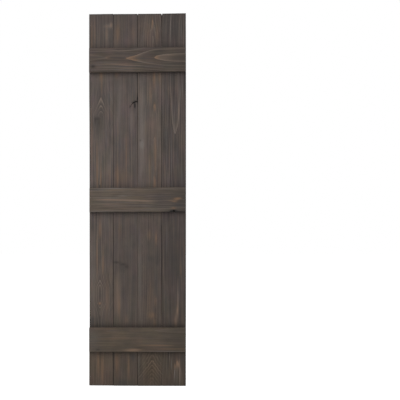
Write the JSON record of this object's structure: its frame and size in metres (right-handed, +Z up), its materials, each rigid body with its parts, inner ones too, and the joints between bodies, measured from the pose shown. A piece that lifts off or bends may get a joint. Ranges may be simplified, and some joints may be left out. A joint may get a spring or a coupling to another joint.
{
  "type": "board and batten shutter",
  "caption": "Fixed board and batten window shutter of upright dressed softwood boards held by full-width face battens, in a dark weathered-brown stain.",
  "frame": {"origin": "centre of the boards' back face, which lies against the wall", "axes": "+Z up along the boards, +X to the right seen from the street, +Y into the wall, so the front faces -Y"},
  "size_m": [0.3556, 0.0381, 1.3695],
  "materials": {
    "boards": "matte",
    "battens": "matte",
    "screws": "satin"
  },
  "bodies": {
    "root": {"board_1": "boards", "board_2": "boards", "board_3": "boards", "board_4": "boards", "batten_top": "battens", "batten_middle": "battens", "batten_bottom": "battens"}
  },
  "joints": []
}
